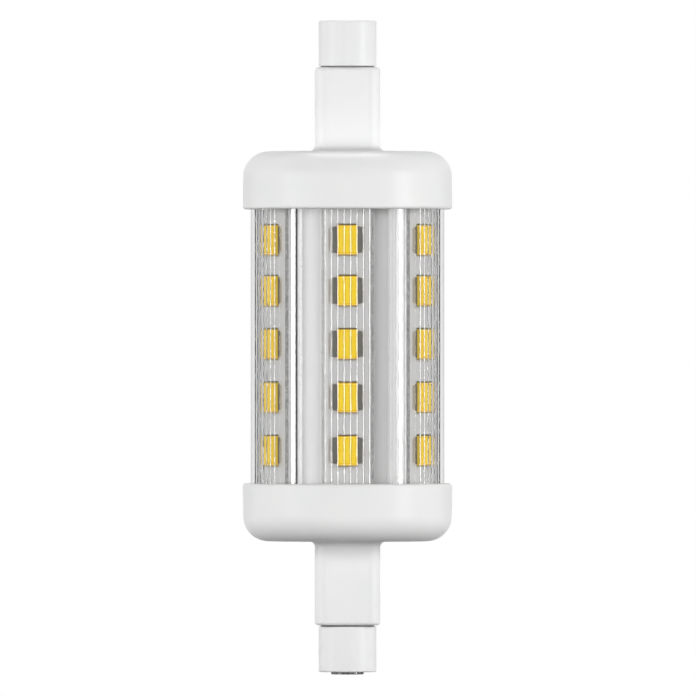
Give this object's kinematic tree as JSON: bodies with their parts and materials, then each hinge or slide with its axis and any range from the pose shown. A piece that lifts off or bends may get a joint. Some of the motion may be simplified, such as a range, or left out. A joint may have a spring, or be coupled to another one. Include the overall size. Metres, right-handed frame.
{
  "type": "linear led bulb",
  "caption": "Double-ended linear LED bulb: clear ribbed tube over LED boards on a hexagonal core, between white end caps with square necks and round contact tips.",
  "frame": {"origin": "light centre, on the lamp's axis halfway between the two end caps", "axes": "+Z along the lamp's axis to the tip whose contact lies inside; -Y faces the first LED board and one flat of each neck"},
  "size_m": [0.025, 0.025, 0.0779],
  "materials": {
    "clear_plastic": "clear, extruded, polished",
    "white_plastic": "fine satin moulding",
    "contact_metal": "plated, satin",
    "core_aluminium": "satin, lengthwise drawn",
    "board_white": "white solder mask",
    "bonding_tape": "matt",
    "led_body": "matt",
    "led_phosphor": "satin silicone",
    "solder": "dull",
    "driver_laminate": "solder mask",
    "sleeve_plastic": "matt",
    "chip_black": "matt",
    "capacitor_skin": "gloss",
    "fuse_coating": "satin",
    "ferrite": "matt",
    "copper": "bright",
    "wire_skin": "satin"
  },
  "bodies": {
    "root": {"clear_cover": "clear_plastic", "upper_end_cap": "white_plastic", "lower_end_cap": "white_plastic", "upper_contact": "contact_metal", "lower_contact": "contact_metal", "heat_sink_core": "core_aluminium", "led_board_1": "board_white", "led_board_2": "board_white", "led_board_3": "board_white", "led_board_4": "board_white", "led_board_5": "board_white", "led_board_6": "board_white", "thermal_tape_1": "bonding_tape", "thermal_tape_2": "bonding_tape", "thermal_tape_3": "bonding_tape", "thermal_tape_4": "bonding_tape", "thermal_tape_5": "bonding_tape", "thermal_tape_6": "bonding_tape", "led_packages_1": "led_body", "led_packages_2": "led_body", "led_packages_3": "led_body", "led_packages_4": "led_body", "led_packages_5": "led_body", "led_packages_6": "led_body", "led_phosphors_1": "led_phosphor", "led_phosphors_2": "led_phosphor", "led_phosphors_3": "led_phosphor", "led_phosphors_4": "led_phosphor", "led_phosphors_5": "led_phosphor", "led_phosphors_6": "led_phosphor", "led_solder_1": "solder", "led_solder_2": "solder", "led_solder_3": "solder", "led_solder_4": "solder", "led_solder_5": "solder", "led_solder_6": "solder", "lead_solder": "solder", "ring_solder": "solder", "upper_ring_board": "driver_laminate", "lower_ring_board": "driver_laminate", "driver_board": "driver_laminate", "driver_sleeve": "sleeve_plastic", "bridge_rectifier": "chip_black", "driver_chip": "chip_black", "chip_resistors": "chip_black", "bulk_capacitor": "capacitor_skin", "fuse_resistor": "fuse_coating", "inductor_core": "ferrite", "inductor_winding": "copper", "feed_pins": "copper", "upper_lead_wire": "wire_skin", "lower_lead_wire": "wire_skin"}
  },
  "joints": []
}
